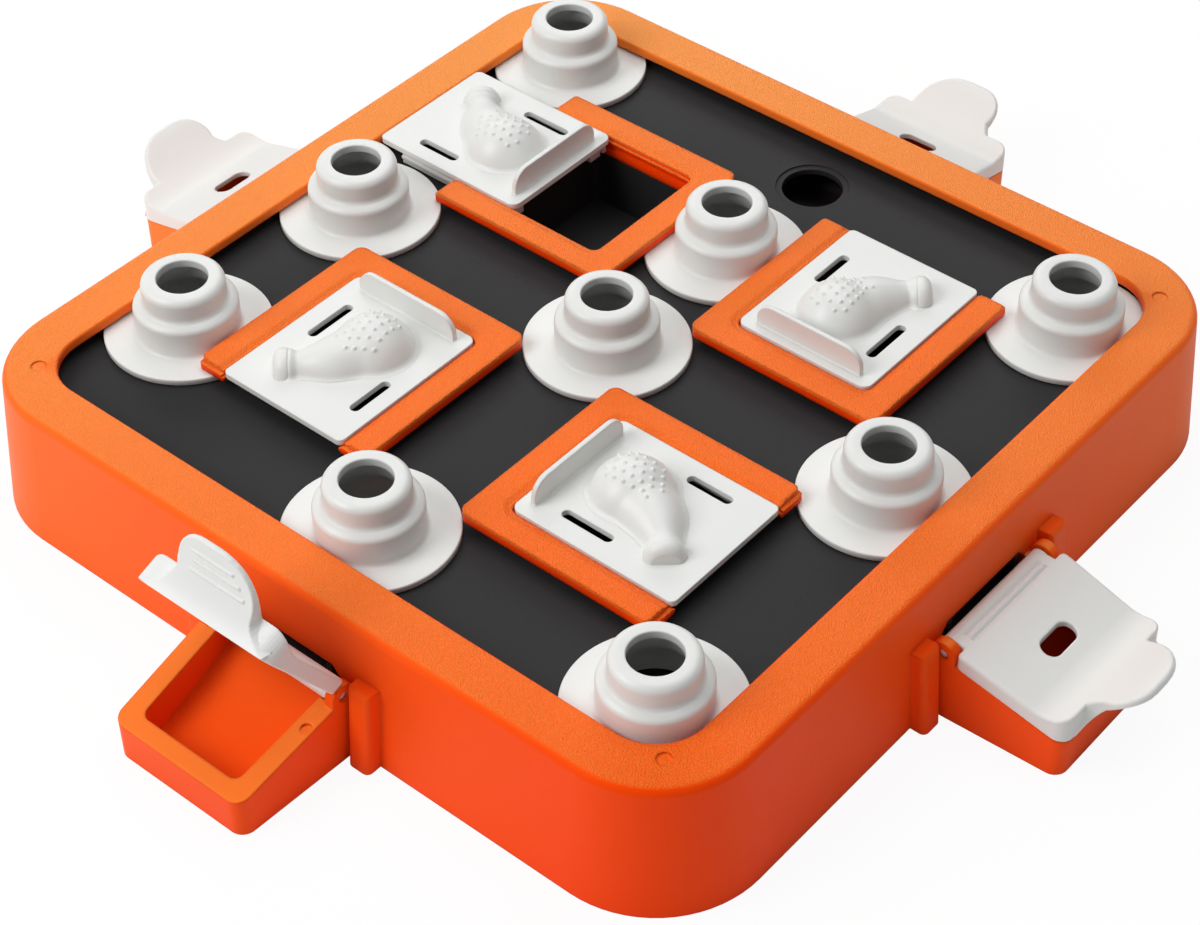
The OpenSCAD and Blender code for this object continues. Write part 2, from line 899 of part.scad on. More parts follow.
module cup(at) {
  z0 = disc_z;
  disc_top = z0 + disc_t;
  step_top = deck_z + cup_step_h;
  tier_r = cup_top_d / 2;
  hole_r = cup_hole_d / 2;
  top = deck_z + cup_h;
  low_in = cup_r - cup_t;
  high_in = tier_r - cup_t;
  color(white)
    translate([at[0], at[1], 0])
      rotate_extrude($fn = 96)
        polygon(concat(
          [[low_in, z0], [disc_r, z0], [disc_r, disc_top - disc_edge], [disc_r - disc_edge, disc_top]],
          arc(cup_r + foot_r, disc_top + foot_r, foot_r, 270, 180, 3),
          arc(cup_r - step_r, step_top - step_r, step_r, 0, step_turn, 4),
          [[tier_r + shoulder_w, step_top + shoulder_z[0]], [tier_r, step_top + shoulder_z[1]]],
          arc(tier_r - cup_top_r, top - cup_top_r, cup_top_r, 0, 90, 6),
          arc(hole_r + hole_edge_r, top - hole_edge_r, hole_edge_r, 90, 180, 3),
          [
            [hole_r, top - cup_lip_t],
            [high_in, top - cup_lip_t],
            [high_in, step_top + inner_z[0]],
            [low_in, step_top + inner_z[1]],
            [low_in, z0]
          ]
        ));
}

// Sliding lid in (travel, side) with its closed end at zero
slot_w = 3.4;
slot_1 = [12.7, 31.2, -16.3];
slot_2 = [31.5, 47.7, 17.5];
rail_t = 1.6;
rail_end = 9.5;
rail_l = lid_l - rail_end;
tab_at = 3.6;
tab_corner_r = 6;
lid_corner_r = 3;
lid_tip_r = 2;
rail_start = 2;
ridge_start = 6;

// Knob: a round bulb that tapers to a neck, a bone and a flared cap, each a revolve on its own axis
bulb_at = [22.9, 2.9, housing_h - 3.1];
bulb_turn = -22;
bulb_rise = 6.5;
bulb_taper = 29;
bulb_l = 16;
neck_r = 6.5;
bone_at = [35.5, -1.9, housing_h - 1.5];
bone_turn = -38.5;
bone_rise = 6.3;
bone_l = 10;
bone_r = [7.6, 6.3, 5.2, 4.7];
cap_at = [43.3, -8, housing_h - 0.4];
cap_turn = -48;
cap_in = 1.5;
cap_r = 6.5;
cap_h = 8.4;
cap_edge_r = 3.4;

// Slot given by its start, its end and its side place
module slot(s) {
  translate([0, s[2], housing_h - lid_t - 1])
    linear_extrude(lid_t + 2)
      round_rect(s[0], s[1], slot_w / 2, slot_w / 2 - eps, slot_w / 2 - eps);
}

module knob_part(at, turn, rise) {
  translate(at)
    rotate([0, 0, turn])
      rotate([0, 90 - rise, 0])
        rotate_extrude()
          children();
}

// Drumstick knob, drawn s inside its outer surface
module knob(s) {
  knob_part(bulb_at, bulb_turn, bulb_rise)
    polygon(concat(
      [[0, s - knob_r]],
      arc(0, 0, knob_r - s, -85, bulb_taper, 16),
      [[neck_r - s, bulb_l], [0, bulb_l]]
    ));
  knob_part(bone_at, bone_turn, bone_rise)
    polygon(concat(
      [[0, s - bone_r[0]]],
      arc(0, 0, bone_r[0] - s, -80, 0, 6),
      [for (i = [1:3]) [bone_r[i] - s, bone_l * i / 3]],
      [[0, bone_l]]
    ));
  knob_part(cap_at, cap_turn, 0)
    polygon(concat(
      [[0, -cap_in], [bone_r[3] - s, -cap_in], [bone_r[3] - s, cap_in]],
      [[(bone_r[3] + cap_r) / 2 - s, 2 * cap_in]],
      arc(cap_r - s - cap_edge_r, cap_h - s - cap_edge_r, cap_edge_r, -20, 70, 6),
      [[0, cap_h - s]]
    ));
}

module lid_body() {
  z_plate = housing_h - lid_t;
  difference() {
    union() {
      translate([0, 0, z_plate])
        linear_extrude(lid_t)
          round_rect(0, lid_l, lid_w / 2, lid_corner_r, lid_tip_r);
      intersection() {
        knob(0);
        translate([0, -lid_w / 2, z_plate + eps])
          cube([lid_l, lid_w, housing_h]);
      }
    }
    slot(slot_1);
    slot(slot_2);
    knob(knob_t);
  }
  // push tab with round upper corners
  translate([tab_at, 0, housing_h - eps])
    rotate([90, 0, 90])
      linear_extrude(tab_t)
        polygon(concat(
          [[-tab_w / 2, 0], [tab_w / 2, 0]],
          arc(tab_w / 2 - tab_corner_r, tab_h - tab_corner_r, tab_corner_r, 0, 90, 8),
          arc(-tab_w / 2 + tab_corner_r, tab_h - tab_corner_r, tab_corner_r, 90, 180, 8)
        ));
  // rails with ridges, and feet that stop the lid at the well
  for (k = [-1, 1]) {
    mirror([0, k < 0 ? 1 : 0, 0]) {
      translate([rail_start, rail_out - rail_t, disc_z + fit_gap])
        cube([rail_l - rail_start, rail_t, z_plate - disc_z]);
      translate([ridge_start, rail_out - eps, ridge_z])
        cube([rail_l - ridge_start, ridge_w, ridge_h]);
      translate([foot_near, rail_out - rail_t - foot_side - foot_w, deck_z - foot_drop])
        cube([foot_far - foot_near, foot_w, z_plate - deck_z + foot_drop + eps]);
    }
  }
}

module slide_lid(i, open) {
  color(white)
    in_cell(i)
      translate([lid_end + open, 0, 0])
        lid_body();
}

// Cup places along the streets
cup_3_in = 28.9;
cup_4_in = 46.5;
cup_7_in = 8.1;
cup_at = [
  [-ring_at, ring_at],
  [-ring_at, 0],
  [-ring_at, cup_3_in - ring_at],
  [0, ring_at - cup_4_in],
  [0, 0],
  [0, -ring_at],
  [ring_at, ring_at - cup_7_in],
  [ring_at, 0],
  [ring_at, -ring_at]
];

module on_side(i) {
  rotate(side_turn[i])
    children();
}

housing();
deck();
deck_posts();
well(1);  // well_1
well(2);  // well_2
well(3);  // well_3
well(4);  // well_4
base_plate();
rubber_feet();
base_screws();
on_side(0) color(dark) chute();  // chute_a
on_side(1) color(dark) chute();  // chute_b
on_side(2) color(dark) chute();  // chute_c
on_side(3) color(dark) chute();  // chute_d
frame(1);  // frame_1
frame(2);  // frame_2
frame(3);  // frame_3
frame(4);  // frame_4
slide_lid(1, lid_travel);  // slide_lid_1
slide_lid(2, 0);  // slide_lid_2
slide_lid(3, 0);  // slide_lid_3
slide_lid(4, 0);  // slide_lid_4
cup(cup_at[0]);  // cup_1
cup(cup_at[1]);  // cup_2
cup(cup_at[2]);  // cup_3
cup(cup_at[3]);  // cup_4
cup(cup_at[4]);  // cup_5
cup(cup_at[5]);  // cup_6
cup(cup_at[6]);  // cup_7
cup(cup_at[7]);  // cup_8
cup(cup_at[8]);  // cup_9
on_side(0) tray();  // tray_a
on_side(1) tray();  // tray_b
on_side(2) tray();  // tray_c
on_side(3) tray();  // tray_d
on_side(0) flap(flap_open);  // flap_a
on_side(1) flap(0);  // flap_b
on_side(2) flap(0);  // flap_c
on_side(3) flap(0);  // flap_d
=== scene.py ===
import math

import bpy
import numpy as np
from mathutils import Matrix, Vector


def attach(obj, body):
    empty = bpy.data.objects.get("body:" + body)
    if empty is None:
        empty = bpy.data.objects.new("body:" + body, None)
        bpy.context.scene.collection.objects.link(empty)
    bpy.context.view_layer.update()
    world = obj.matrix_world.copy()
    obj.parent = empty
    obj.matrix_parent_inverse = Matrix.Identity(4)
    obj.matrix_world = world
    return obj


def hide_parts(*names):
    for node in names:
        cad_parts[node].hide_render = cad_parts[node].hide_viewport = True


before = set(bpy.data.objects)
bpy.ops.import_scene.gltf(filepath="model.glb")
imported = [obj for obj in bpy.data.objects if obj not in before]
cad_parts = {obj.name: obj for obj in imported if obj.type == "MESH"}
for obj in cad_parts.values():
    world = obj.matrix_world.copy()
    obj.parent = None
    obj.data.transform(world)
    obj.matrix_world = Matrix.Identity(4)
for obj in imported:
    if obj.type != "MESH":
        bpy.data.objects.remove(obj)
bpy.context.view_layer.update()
mm = 0.001
street = 105.6  # from the middle to the outer streets, in millimetres
sides = {"a": -90, "b": 0, "c": 180, "d": 90}  # turn of each tray about the middle
cells = {1: 180, 2: -90, 3: 90, 4: 0}  # turn of each covered well about the middle


class Wire:  # a shader socket that takes part in sums
    def __init__(self, tree, socket):
        self.tree = tree
        self.socket = socket

    def node(self, kind, settings=None, sockets=None, out=0):
        made = self.tree.nodes.new(kind)
        for key, value in (settings or {}).items():
            setattr(made, key, value)
        for key, value in (sockets or {}).items():
            if isinstance(value, Wire):
                self.tree.links.new(value.socket, made.inputs[key])
            else:
                made.inputs[key].default_value = value
        return Wire(self.tree, made.outputs[out])

    def maths(self, operation, first, second=0.0):
        return self.node("ShaderNodeMath", {"operation": operation}, {0: first, 1: second})

    def __add__(self, other):
        return self.maths("ADD", self, other)

    def __radd__(self, other):
        return self.maths("ADD", other, self)

    def __sub__(self, other):
        return self.maths("SUBTRACT", self, other)

    def __rsub__(self, other):
        return self.maths("SUBTRACT", other, self)

    def __mul__(self, other):
        return self.maths("MULTIPLY", self, other)

    def __rmul__(self, other):
        return self.maths("MULTIPLY", other, self)

    def clamped(self):
        return self.node("ShaderNodeClamp", None, {"Value": self})

    def step(self, low, high):
        sockets = {"Value": self, "From Min": low, "From Max": high}
        return self.node("ShaderNodeMapRange", {"interpolation_type": "SMOOTHSTEP"}, sockets)

    def mixed(self, first, second):
        return self.node("ShaderNodeMix", {"data_type": "RGBA"}, {0: self, 6: first, 7: second}, out=2)

    def shaders(self, first, second):
        return self.node("ShaderNodeMixShader", None, {0: self, 1: first, 2: second})


def newMaterial(name):
    material = bpy.data.materials.new(name)
    material.use_nodes = True
    material.node_tree.nodes.clear()
    start = Wire(material.node_tree, None)
    return material, start


def ownPlace(start):  # the object's own coordinates
    return start.node("ShaderNodeTexCoord", out=3)


def finish(shader, kind="ShaderNodeOutputMaterial"):
    out = shader.tree.nodes.new(kind)
    shader.tree.links.new(shader.socket, out.inputs[0])


def principled(start, sockets):
    return start.node("ShaderNodeBsdfPrincipled", None, sockets)


def noise(start, place, perMetre, detail=2.0, distortion=0.0):
    sockets = {"Vector": place, "Scale": perMetre, "Detail": detail, "Distortion": distortion}
    return start.node("ShaderNodeTexNoise", None, sockets)


def bumped(start, height, strength, depth, edge):
    sockets = {"Height": height, "Strength": strength, "Distance": depth}
    if edge:  # radius of the rounded look of an edge
        sockets["Normal"] = start.node("ShaderNodeBevel", {"samples": 6}, {"Radius": edge})
    return start.node("ShaderNodeBump", None, sockets)


def upward(start):
    return start.node("ShaderNodeSeparateXYZ", None, {0: start.node("ShaderNodeNewGeometry", out=1)}, out=2)


orangeLook = {
    # walls, trays and the sides of the covers; a deeper orange than the upward faces, as painted shade
    "side": (1.0, 0.054, 0.0005, 1),
    "paintedSheenSide": (1.0, 0.40, 0.06, 1),
    "sideSpecular": 0.2,
    "sideSheen": (1.0, 0.35, 0.06, 1),
    "sidePatch": 0.2,
    "wear": 0.12,
    "wearRange": (0.62, 0.82),
    # rim, tops of the covers and rims of the trays; a paler, yellower orange than the sides, as painted
    # light on upward faces
    "top": (0.98, 0.095, 0.002, 1),
    # painted glint colour, on the tips of the grain and over the tray rims
    "paintedGlint": (1.0, 0.24, 0.02, 1),
    "paintedSheenTop": (1.0, 0.50, 0.13, 1),
    "topSpecular": 0.7,
    "topSheen": (1.0, 0.62, 0.18, 1),
    "topPatch": 0.3,
    # noise, in features per metre
    "fine": 3200,
    "cloud": 28,
    "flow": 160,
    # roughness with its cloudy and its fine change
    "rough": 0.46,
    "roughPatch": 0.12,
    "roughSpeck": 0.08,
    # painted sheen and light: paler, yellower colour towards the back left corner, along y - x in metres
    "paintedSheen": 0.60,
    "paintedSheenRange": (-0.28, 0.28),
    "paintedSheenInside": 0.5,  # share that the covers get
    "outside": (0.120, 0.124),  # covers end and rim begins, from the middle
    # leather grain
    "grainCell": 2100,
    "grainSoft": 0.5,
    "grainLevel": 0.75,
    "grainSpeck": 0.5,
    "grainDepth": 0.00042,
    "grainStrength": 0.8,
    # painted glints: a paler colour on the tips of the grain
    "paintedGlintRange": (0.2, 0.7),
    "paintedGlintShare": 0.75,
    # plain bump of the smooth faces
    "flowShare": 0.8,
    "fineShare": 0.2,
    "flowDepth": 0.00012,
    "flowStrength": 0.6,
    # where the upper look begins: how far a face looks up, and its height
    "facing": (0.80, 0.985),
    "rim": (0.0440, 0.0452),
    # the covers' upper colour reaches down the top band of their sides: a painted highlight of a lit
    # rounded edge
    "paintedCoverEdgeLight": (0.0462, 0.0472),
    "trayFacing": (0.80, 0.95),
    "trayRim": (0.0596, 0.0606),
    "trayFall": 0.2568,
    # trays: an even share of the painted glint colour
    "trayPaintedGlint": 0.30,
    "traySpeck": 0.2,
}


def orangePlastic(name, grained, edge):
    look = orangeLook
    material, start = newMaterial(name)
    place = ownPlace(start)
    x, y, z = [start.node("ShaderNodeSeparateXYZ", None, {0: place}, out=n) for n in range(3)]
    fine = noise(start, place, look["fine"])
    cloud = noise(start, place, look["cloud"], 3.0)
    flow = noise(start, place, look["flow"])
    patch, speck = cloud - 0.5, fine - 0.5
    up = upward(start)

    outward = start.maths("MAXIMUM", start.maths("ABSOLUTE", x), start.maths("ABSOLUTE", y))
    outside = outward.step(*look["outside"])
    # painted sheen: the colour turns paler and yellower towards the back left corner, half as much on the
    # covers
    near, far = look["paintedSheenRange"]
    paintedSheen = ((y - x - near) * (look["paintedSheen"] / (far - near))).clamped()
    paintedSheen = paintedSheen * (look["paintedSheenInside"] + outside * (1 - look["paintedSheenInside"]))

    rough = look["rough"] + patch * look["roughPatch"] + speck * look["roughSpeck"]
    height = (flow - 0.5) * look["flowShare"] + fine * look["fineShare"]
    smooth = bumped(start, height, look["flowStrength"], look["flowDepth"], edge)
    worn = (flow.step(*look["wearRange"]) * look["wear"] + patch * look["sidePatch"]).clamped()
    side = principled(start, {
        "Base Color": worn.mixed((paintedSheen * outside).mixed(look["side"], look["paintedSheenSide"]), look["top"]),
        "Roughness": rough,
        "Normal": smooth,
        "Specular IOR Level": look["sideSpecular"],
        "Specular Tint": look["sideSheen"],
    })

    if grained:
        sockets = {"Vector": place, "Scale": look["grainCell"], "Smoothness": look["grainSoft"]}
        cell = start.node("ShaderNodeTexVoronoi", {"feature": "SMOOTH_F1"}, sockets)
        leather = look["grainLevel"] - cell + speck * look["grainSpeck"]
        # painted glints on the grain tips, in random patches
        paintedGlint = leather.step(*look["paintedGlintRange"]) * look["paintedGlintShare"] + patch * look["topPatch"]
        normal = bumped(start, leather, look["grainStrength"], look["grainDepth"], edge)
        # painted highlight: the upper colour over the top band of the covers' sides
        paintedCoverEdgeLight = z.step(*look["paintedCoverEdgeLight"]) * (1 - outside)
        top = start.maths("MAXIMUM", up.step(*look["facing"]) * z.step(*look["rim"]), paintedCoverEdgeLight)
    else:
        paintedGlint = look["trayPaintedGlint"] + patch * look["topPatch"] + speck * look["traySpeck"]
        normal = smooth
        top = up.step(*look["trayFacing"]) * (z + outward * look["trayFall"]).step(*look["trayRim"])
    upper = principled(start, {
        "Base Color": paintedSheen.mixed(paintedGlint.clamped().mixed(look["top"], look["paintedGlint"]), look["paintedSheenTop"]),
        "Roughness": rough,
        "Normal": normal,
        "Specular IOR Level": look["topSpecular"],
        "Specular Tint": look["topSheen"],
    })
    # upward faces take the paler upper colour as painted light, besides their grain and stronger specular
    finish(top.shaders(side, upper))
    return material


plasticGrain = {
    "cloud": 22,
    "flow": 130,
    "fine": 2600,
    "scratch": 420,
    "scratchBend": 2.5,
    "scratchRange": (0.66, 0.71),
    "cloudShare": 0.7,
    "roughPatch": 0.14,
    "roughSpeck": 0.06,
    "roughScratch": 0.2,
    "heights": (0.5, 0.12, 0.4),  # of flow, fine and scratches
    "strength": 0.35,
    "depth": 0.00012,
}
whiteLook = {
    "base": (0.750, 0.757, 0.735, 1),
    "tint": (0.798, 0.808, 0.788, 1),
    "rough": 0.36,
    "edge": 0.0006,
    "marks": 0.4,
    "speckle": 0.0,
    "specular": 0.4,
}
darkLook = {
    "base": (0.020, 0.020, 0.0215, 1),
    "tint": (0.027, 0.027, 0.0285, 1),
    "rough": 0.5,
    "edge": 0.0004,
    "marks": 0.6,
    "speckle": 0.4,
    "specular": 0.15,
}
rubberLook = {
    "base": (0.016, 0.016, 0.017, 1),
    "tint": (0.024, 0.024, 0.024, 1),
    "rough": 0.75,
    "edge": 0.0004,
    "marks": 0.2,
    "speckle": 0.4,
    "specular": 0.3,
}


def plainPlastic(name, look):
    grain = plasticGrain
    material, start = newMaterial(name)
    place = ownPlace(start)
    cloud = noise(start, place, grain["cloud"], 3.0)
    flow = noise(start, place, grain["flow"], 3.0)
    fine = noise(start, place, grain["fine"])
    scratch = noise(start, place, grain["scratch"], 1.0, grain["scratchBend"])
    line = scratch.step(*grain["scratchRange"]) * look["marks"]
    flowHeight, fineHeight, lineHeight = grain["heights"]
    height = (flow - 0.5) * flowHeight + fine * fineHeight + line * lineHeight
    rough = look["rough"] + (cloud - 0.5) * grain["roughPatch"] + (fine - 0.5) * grain["roughSpeck"]
    share = (cloud * grain["cloudShare"] + fine * look["speckle"]).clamped()
    finish(principled(start, {
        "Base Color": share.mixed(look["base"], look["tint"]),
        "Roughness": rough + line * grain["roughScratch"],
        "Normal": bumped(start, height, grain["strength"], grain["depth"], look["edge"]),
        "Specular IOR Level": look["specular"],
    }))
    return material


zincLook = {
    "grain": 900,
    "dark": (0.42, 0.42, 0.44, 1),
    "bright": (0.62, 0.62, 0.65, 1),
    "rough": (0.25, 0.2),
    "strength": 0.3,
    "depth": 0.00005,
    "edge": 0.0002,
}


def zincSteel(name):
    look = zincLook
    material, start = newMaterial(name)
    place = ownPlace(start)
    grain = noise(start, place, look["grain"], 4.0)
    finish(principled(start, {
        "Base Color": grain.mixed(look["dark"], look["bright"]),
        "Roughness": look["rough"][0] + grain * look["rough"][1],
        "Metallic": 1.0,
        "Normal": bumped(start, grain, look["strength"], look["depth"], look["edge"]),
    }))
    return material


looks = {
    "rim": orangePlastic("orange rim", True, 0.0012),
    "frame": orangePlastic("orange frame", True, 0.0020),
    "side": orangePlastic("orange side", False, 0.0012),
    "white": plainPlastic("white shell", whiteLook),
    "smoothWhite": plainPlastic("smooth white shell", dict(whiteLook, edge=0)),
    "dark": plainPlastic("dark deck", darkLook),
    "rubber": plainPlastic("rubber pad", rubberLook),
    "steel": zincSteel("zinc steel"),
}
print("stage: materials")


def dress(look, *nodes):
    for name in nodes:
        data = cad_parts[name].data
        data.materials.clear()
        data.materials.append(looks[look])


dress("rim", "housing")
dress("dark", "deck", "deck_posts", "base_plate")
dress("rubber", "rubber_feet")
dress("steel", "base_screws")
for i in cells:
    dress("frame", "frame_%d" % i)
    dress("dark", "well_%d" % i)
    dress("white", "slide_lid_%d" % i)
for side in sides:
    dress("side", "tray_" + side)
    dress("dark", "chute_" + side)


# pieces are drawn in millimetres and scaled when the mesh is made
def newMesh(name, verts, faces, normals=None):
    mesh = bpy.data.meshes.new(name)
    mesh.from_pydata([[c * mm for c in v] for v in verts], [], faces)
    mesh.shade_smooth()
    if normals is not None:
        mesh.normals_split_custom_set_from_vertices(normals)
    mesh.materials.append(looks["smoothWhite"])
    return mesh


def newPiece(mesh, name, body, place, node=None):
    piece = bpy.data.objects.new(name, mesh)
    bpy.context.scene.collection.objects.link(piece)
    piece.matrix_world = place
    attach(piece, body)
    if node:
        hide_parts(node)


def turned(degrees, axis="Z"):
    return Matrix.Rotation(math.radians(degrees), 4, axis)


def moved(x, y, z):
    return Matrix.Translation((x * mm, y * mm, z * mm))


def arc(x, z, r, first, last, count):
    angles = [math.radians(first + (last - first) * i / count) for i in range(count + 1)]
    return [(x + r * math.cos(a), z + r * math.sin(a)) for a in angles]


# cups, each a revolve with a flat disc, two tiers and a treat hole
cupLook = {
    "turns": 128,
    "floor": 41.4,
    "discR": 26.4,
    "discT": 2.3,
    "discEdge": 0.5,
    "underEdge": 0.3,
    "foot": 1.4,
    "lowR": 16.4,
    "lowTop": 54.3,
    "lowEdge": 2.0,
    "lowSweep": 66,  # how far the edge of the lower tier turns in
    "collar": 1.8,
    "collarLift": 0.25,
    "collarStart": 262,
    "highR": 13.1,
    "top": 62.9,
    "topEdge": 2.6,
    "holeR": 8.0,
    "holeEdge": 0.5,
    "lip": 3.0,
    "lipEdge": 0.4,
    "wall": 2.4,
    "roofEdge": 0.8,
    "innerStep": (0.5, 2.0),
}
cupPlaces = {
    1: (-street, street), 2: (-street, 0), 3: (-street, -76.7),
    4: (0, 59.1), 5: (0, 0), 6: (0, -street),
    7: (street, 97.5), 8: (street, 0), 9: (street, -street),
}


def cupOutline():
    c = cupLook
    z0, z1, step, top = c["floor"], c["floor"] + c["discT"], c["lowTop"], c["top"]
    disc, low, high, hole, under = c["discR"], c["lowR"], c["highR"], c["holeR"], c["underEdge"]
    inner, upper, roof = low - c["wall"], high - c["wall"], top - c["lip"]
    line = [(inner, z0 + under), (inner + under, z0), (disc - under, z0), (disc, z0 + under)]
    line += arc(disc - c["discEdge"], z1 - c["discEdge"], c["discEdge"], 0, 90, 4)
    line += arc(low + c["foot"], z1 + c["foot"], c["foot"], 270, 180, 6)
    line += arc(low - c["lowEdge"], step - c["lowEdge"], c["lowEdge"], 0, c["lowSweep"], 6)
    collarZ = step + c["collar"] + c["collarLift"]
    line += arc(high + c["collar"], collarZ, c["collar"], c["collarStart"], 180, 6)
    line += arc(high - c["topEdge"], top - c["topEdge"], c["topEdge"], 0, 90, 8)
    line += arc(hole + c["holeEdge"], top - c["holeEdge"], c["holeEdge"], 90, 180, 6)
    line += arc(hole + c["lipEdge"], roof + c["lipEdge"], c["lipEdge"], 180, 270, 3)
    line += arc(upper - c["roofEdge"], roof - c["roofEdge"], c["roofEdge"], 90, 0, 3)
    line += [(upper, step - c["innerStep"][0]), (inner, step - c["innerStep"][1]), (inner, z0 + under)]
    return line


def revolved(line, turns):
    verts, faces = [], []
    count = len(line)
    for k in range(turns):
        a = 2 * math.pi * k / turns
        verts += [(r * math.cos(a), r * math.sin(a), z) for r, z in line]
    for k in range(turns):
        for i in range(count - 1):
            a, b = k * count, (k + 1) % turns * count
            faces.append((a + i, b + i, b + i + 1, a + i + 1))
    return verts, faces


mesh = newMesh("cup", *revolved(cupOutline(), cupLook["turns"]))
for i, (x, y) in cupPlaces.items():
    newPiece(mesh, "cupShell_%d" % i, "cup_%d" % i, moved(x, y, 0), "cup_%d" % i)
print("stage: cups")


# signed distances: below zero is inside, and r rounds the edge or fills the corner
def cut(a, b, r):
    return np.hypot(np.maximum(a + r, 0), np.maximum(b + r, 0)) + np.minimum(np.maximum(a, b) + r, 0) - r


def joined(a, b, r):
    return -cut(-a, -b, r)


def polygonField(x, y, points):
    best = np.full(np.broadcast(x, y).shape, 1e9)
    inside = np.zeros(best.shape, bool)
    last = points[-1]
    for here in points:
        ex, ey = last[0] - here[0], last[1] - here[1]
        wx, wy = x - here[0], y - here[1]
        t = np.clip((wx * ex + wy * ey) / (ex * ex + ey * ey), 0, 1)
        best = np.minimum(best, (wx - ex * t) ** 2 + (wy - ey * t) ** 2)
        if ey:
            inside ^= ((here[1] > y) != (last[1] > y)) & (wx < ex * wy / ey)
        last = here
    return np.where(inside, -1, 1) * np.sqrt(best)


def slopeOf(field, points, reach=0.02):
    x, y, z = points.T
    here = field(x, y, z)
    ahead = [field(x + reach, y, z), field(x, y + reach, z), field(x, y, z + reach)]
    slope = np.stack([value - here for value in ahead], axis=1) / reach
    size = np.maximum(np.linalg.norm(slope, axis=1), 1e-6)
    return slope / size[:, None], here / np.maximum(size, 0.5)


# a point for every grid cell that the surface crosses, the mean of the crossings on its twelve edges
def cellPoints(value):
    inside = value < 0
    halves = (np.s_[:-1], np.s_[1:])
    count = sum(inside[i, j, k].astype(int) for i in halves for j in halves for k in halves)
    crossed = (count > 0) & (count < 8)
    cells = np.argwhere(crossed)
    number = np.full(crossed.shape, -1)
    number[crossed] = np.arange(len(cells))
    total = np.zeros((len(cells), 3))
    hits = np.zeros(len(cells))
    for axis in range(3):
        across, other = [a for a in range(3) if a != axis]
        for p, q in ((0, 0), (0, 1), (1, 0), (1, 1)):
            near = cells.copy()
            near[:, across] += p
            near[:, other] += q
            far = near.copy()
            far[:, axis] += 1
            a, b = value[tuple(near.T)], value[tuple(far.T)]
            met = (a < 0) != (b < 0)
            point = near.astype(float)
            point[:, axis] += np.where(met, a / np.where(met, a - b, 1), 0)
            total += point * met[:, None]
            hits += met
    return total / hits[:, None], number


# a face for every grid edge that the surface crosses, through the points of the four cells about it
def cellFaces(inside, number):
    faces = []
    for axis in range(3):
        across, other = (axis + 1) % 3, (axis + 2) % 3
        first, second = [slice(None)] * 3, [slice(None)] * 3
        first[axis], second[axis] = slice(None, -1), slice(1, None)
        at = np.argwhere(inside[tuple(first)] != inside[tuple(second)])
        for side in (across, other):
            at = at[(at[:, side] > 0) & (at[:, side] < inside.shape[side] - 1)]
        ring = []
        for p, q in ((0, 0), (1, 0), (1, 1), (0, 1)):
            cell = at.copy()
            cell[:, across] -= p
            cell[:, other] -= q
            ring.append(number[tuple(cell.T)])
        quads = np.stack(ring, axis=1)
        turn = ~inside[tuple(at.T)]
        quads[turn] = quads[turn][:, ::-1]
        faces.append(quads[(quads >= 0).all(axis=1)])
    return np.concatenate(faces)


# the surface of a field between two corners, with its own slopes as normals
def skinOf(field, low, high, step):
    x, y, z = [np.arange(low[i], high[i] + step, step) for i in range(3)]
    value = field(x[:, None, None], y[None, :, None], z[None, None, :])
    at, number = cellPoints(value)
    points = np.array(low) + step * at
    for _ in range(3):  # draws the points onto the true surface
        slope, here = slopeOf(field, points)
        points = points - slope * np.clip(here, -step, step)[:, None]
    return points, cellFaces(value < 0, number), slopeOf(field, points)[0]


def trimmed(points, faces, slopes, keep):
    faces = faces[keep[faces].all(axis=1)]
    used = np.unique(faces)
    number = np.full(len(points), -1)
    number[used] = np.arange(len(used))
    return points[used], number[faces], slopes[used]


def gathered(parts):
    verts, faces, normals = [], [], []
    for points, quads, slopes in parts:
        base = len(verts)
        verts += [list(point) for point in points]
        faces += [[base + n for n in face] for face in quads]
        normals += [list(slope) for slope in slopes]
    return verts, faces, normals


# knobs and push tabs of the sliding lids, a skin over each plate; u runs along the travel, v across it
lidPlaces = {1: 34.3, 2: 0, 3: 0, 4: 0}  # how far each lid is drawn open
lidLook = {"inner": 28.8, "top": 48, "lift": 0.05, "spare": 0.1}
knobLook = {
    "bulb": (22.9, 2.9, -3.1),
    "bulbTurn": -22,
    "bulbRise": 6.5,
    "bulbR": 13.4,
    "neckR": 6.6,
    "neckAt": 14.0,
    "bone": (35.5, -1.9, -1.5),
    "boneTurn": -38.5,
    "boneRise": 6.3,
    "boneR": 7.6,
    "boneTipR": 5.1,
    "boneTipAt": 10.0,
    "cap": (43.3, -8.0, -0.4),
    "capTurn": -48,
    "capR": 6.2,
    "capFrom": 2.0,
    "capBulge": 4.9,
    "capEdge": 1.5,
    "fillet": 1.5,
    "capFillet": 1.9,
    "neckFillet": 5.0,
    "box": ((6, -18, -1), (55, 20, 12)),
    "step": 0.45,
}
bumpLook = {
    "r": 1.0,
    "high": 0.9,
    "sink": 0.03,
    "point": 1.5,
    "tilt": 0.75,
    "rings": 6,
    "turns": 14,
    # each row with its v, first u and count, and one bump by itself
    "rows": ((8.6, 16.9, 5), (5.5, 15.5, 6), (2.4, 17.3, 6), (-0.5, 15.9, 7), (-3.0, 18.0, 5)),
    "single": (-2.75, 32.4),
    "pitch": 3.02,
    "bend": 0.02,
    "bendFrom": 22,
    "above": 14.0,  # where the search for the knob's surface begins
    "tries": 40,
    "stride": 0.8,
}
tabLook = {
    "at": 3.6,
    "thick": 1.6,
    "half": 19.7,
    "high": 8.3,
    "cornerR": 6.0,
    "edge": 0.45,
    "fillet": 0.6,
    "box": ((0.5, -22, -1), (8.3, 22, 10)),
    "step": 0.35,
}


